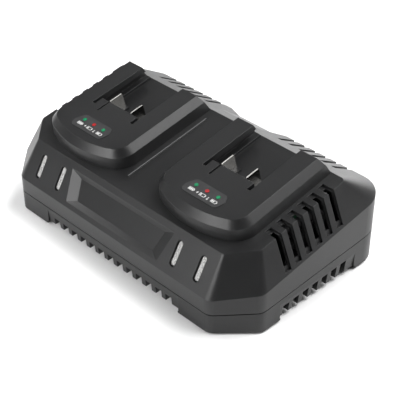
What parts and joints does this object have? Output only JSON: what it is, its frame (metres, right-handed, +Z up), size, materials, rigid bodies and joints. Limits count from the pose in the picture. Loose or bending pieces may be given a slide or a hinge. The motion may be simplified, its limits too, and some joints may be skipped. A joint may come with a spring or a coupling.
{
  "type": "power tool battery charger",
  "caption": "Mains desktop charger with two slide-in battery bays side by side, sloped vented case, status lights and blade contacts.",
  "frame": {"origin": "on the table under the middle of the case", "axes": "+X along the long side to the user's right, +Y from the user's side to the back, +Z up"},
  "size_m": [0.25, 0.1544, 0.0882],
  "materials": {
    "case_top": "fine moulded texture",
    "case_base": "fine moulded texture",
    "dock_black": "fine moulded texture",
    "holder_black": "smooth moulding",
    "contact_metal": "nickel plated",
    "label_gloss": "polyester film",
    "green_lens": "green lens",
    "red_lens": "red lens",
    "frosted_lens": "frosted light pipe",
    "rubber": "matt rubber",
    "steel": "zinc plated",
    "board_green": "solder mask",
    "ferrite": "ferrite",
    "winding_tape": "polyester tape",
    "can_sleeve": "shrink sleeve",
    "copper_wire": "enamelled wire",
    "film_yellow": "potted box",
    "fuse_glass": "glass tube",
    "epoxy_black": "moulded epoxy",
    "sink_alu": "extruded",
    "terminal_white": "nylon",
    "wire_red": "insulation",
    "inlet_black": "smooth moulding",
    "pin_metal": "nickel plated",
    "fan_black": "moulded",
    "rotor_black": "moulded"
  },
  "bodies": {
    "housing": {"lower_shell": "case_base", "upper_shell": "case_top", "rubber_feet": "rubber", "left_bay_dock": "dock_black", "left_contact_holder": "holder_black", "left_blade_contacts": "contact_metal", "left_status_label": "label_gloss", "left_green_lights": "green_lens", "left_red_light": "red_lens", "left_light_board": "board_green", "left_light_bars": "frosted_lens", "left_bay_wires": "wire_red", "right_bay_dock": "dock_black", "right_contact_holder": "holder_black", "right_blade_contacts": "contact_metal", "right_status_label": "label_gloss", "right_green_lights": "green_lens", "right_red_light": "red_lens", "right_light_board": "board_green", "right_light_bars": "frosted_lens", "right_bay_wires": "wire_red", "case_screws": "steel", "main_board": "board_green", "board_screws": "steel", "transformer_core": "ferrite", "transformer_winding": "winding_tape", "bulk_capacitors": "can_sleeve", "output_capacitors": "can_sleeve", "mains_choke": "copper_wire", "mains_filter_capacitor": "film_yellow", "mains_fuse": "fuse_glass", "bridge_rectifier": "epoxy_black", "primary_heatsink": "sink_alu", "secondary_heatsink": "sink_alu", "power_switches": "epoxy_black", "output_rectifiers": "epoxy_black", "bay_terminal_blocks": "terminal_white", "mains_inlet": "inlet_black", "mains_inlet_pins": "pin_metal", "fan_frame": "fan_black"},
    "fan": {"fan_rotor": "rotor_black"}
  },
  "joints": [
    {"name": "fan_spin", "type": "hinge", "parent": "housing", "child": "fan", "pos_m": [0.1075, 0.00275, 0.0365], "axis": [1, 0, 0], "continuous": true}
  ]
}
